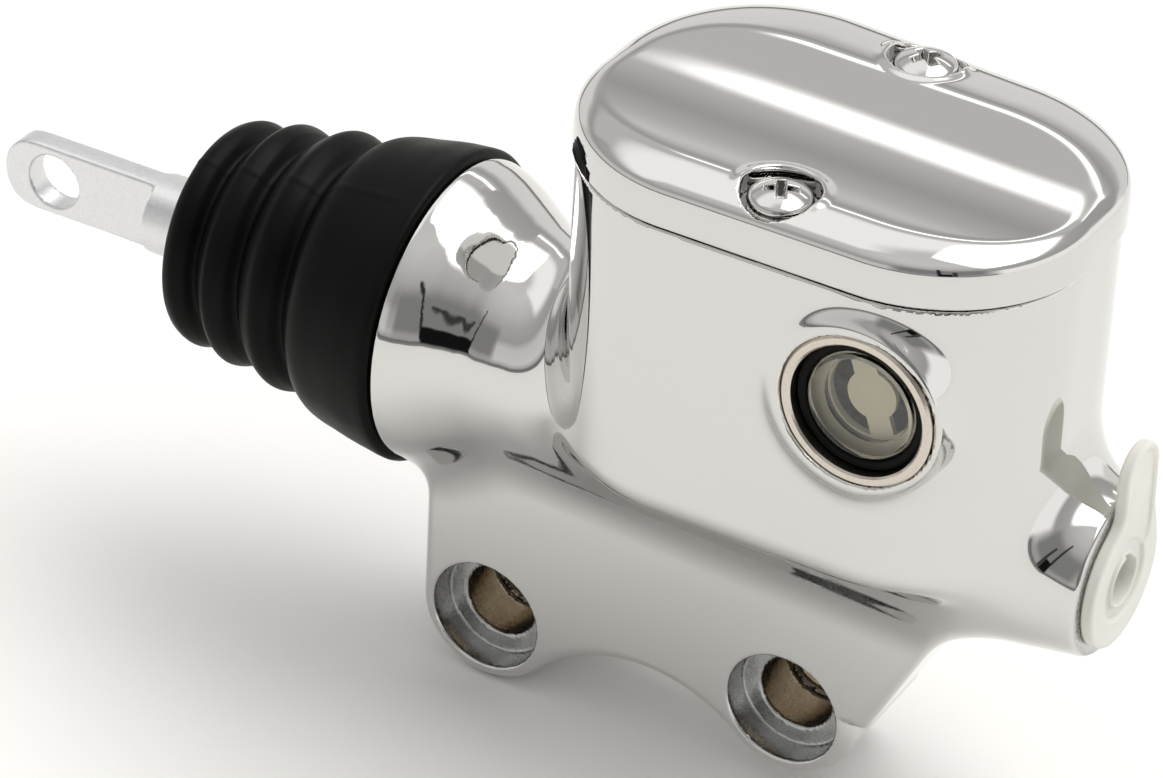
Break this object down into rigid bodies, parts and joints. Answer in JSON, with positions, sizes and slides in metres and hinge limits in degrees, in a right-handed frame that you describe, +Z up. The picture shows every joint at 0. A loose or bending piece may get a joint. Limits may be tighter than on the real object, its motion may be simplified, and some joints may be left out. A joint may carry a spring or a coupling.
{
  "type": "brake master cylinder",
  "caption": "Chromed brake master cylinder with a cast-on fluid reservoir, sight glass, bolted cover, rubber boot and a push rod with a clevis eye.",
  "frame": {"origin": "midpoint between the two mounting-hole centres, on the flat mounting face", "axes": "+X along the bore towards the fluid outlet, +Y into the surface that the part bolts to, +Z up towards the reservoir cover"},
  "size_m": [0.1673, 0.0491, 0.0981],
  "materials": {
    "chrome": "polished",
    "screw_steel": "polished",
    "spring_steel": "drawn",
    "bezel_metal": "satin",
    "sleeve_steel": "machined",
    "plated_rod": "tumbled zinc plate",
    "anodised_piston": "hard anodised",
    "black_rubber": "moulded",
    "clear_lens": "clear",
    "reflector_plastic": "satin",
    "milky_plastic": "translucent, soft"
  },
  "bodies": {
    "housing": {"body": "chrome", "port_shield": "spring_steel", "sight_glass_bezel": "bezel_metal", "sight_glass_seal": "black_rubber", "sight_glass_lens": "clear_lens", "sight_glass_reflector": "reflector_plastic", "boot": "black_rubber", "stop_washer": "screw_steel", "snap_ring": "spring_steel", "return_spring": "spring_steel", "mount_sleeves": "sleeve_steel"},
    "rod": {"pushrod": "plated_rod"},
    "piston_group": {"piston": "anodised_piston", "secondary_cup": "black_rubber", "cup_shim": "spring_steel", "primary_cup": "black_rubber", "spring_retainer": "spring_steel"},
    "cover_group": {"cover": "chrome", "cover_screws": "screw_steel", "cover_diaphragm": "black_rubber"},
    "plug": {"outlet_plug": "milky_plastic"}
  },
  "joints": [
    {"name": "pushrod_slide", "type": "slide", "parent": "housing", "child": "rod", "axis": [1, 0, 0], "range_m": [0, 0.012], "stiffness_N_per_m": 1200, "springref_m": -0.012, "deforming": ["boot"]},
    {"name": "piston_slide", "type": "slide", "parent": "housing", "child": "piston_group", "axis": [1, 0, 0], "range_m": [0, 0.012], "stiffness_N_per_m": 1200, "springref_m": -0.012, "deforming": ["return_spring"]},
    {"name": "cover_lift", "type": "slide", "parent": "housing", "child": "cover_group", "axis": [0, 0, 1], "range_m": [0, 0.035]},
    {"name": "plug_pull", "type": "slide", "parent": "housing", "child": "plug", "axis": [1, 0, 0], "range_m": [0, 0.02]}
  ],
  "couplings": [
    {"joint": "piston_slide", "follows": "pushrod_slide", "ratio": 1}
  ]
}
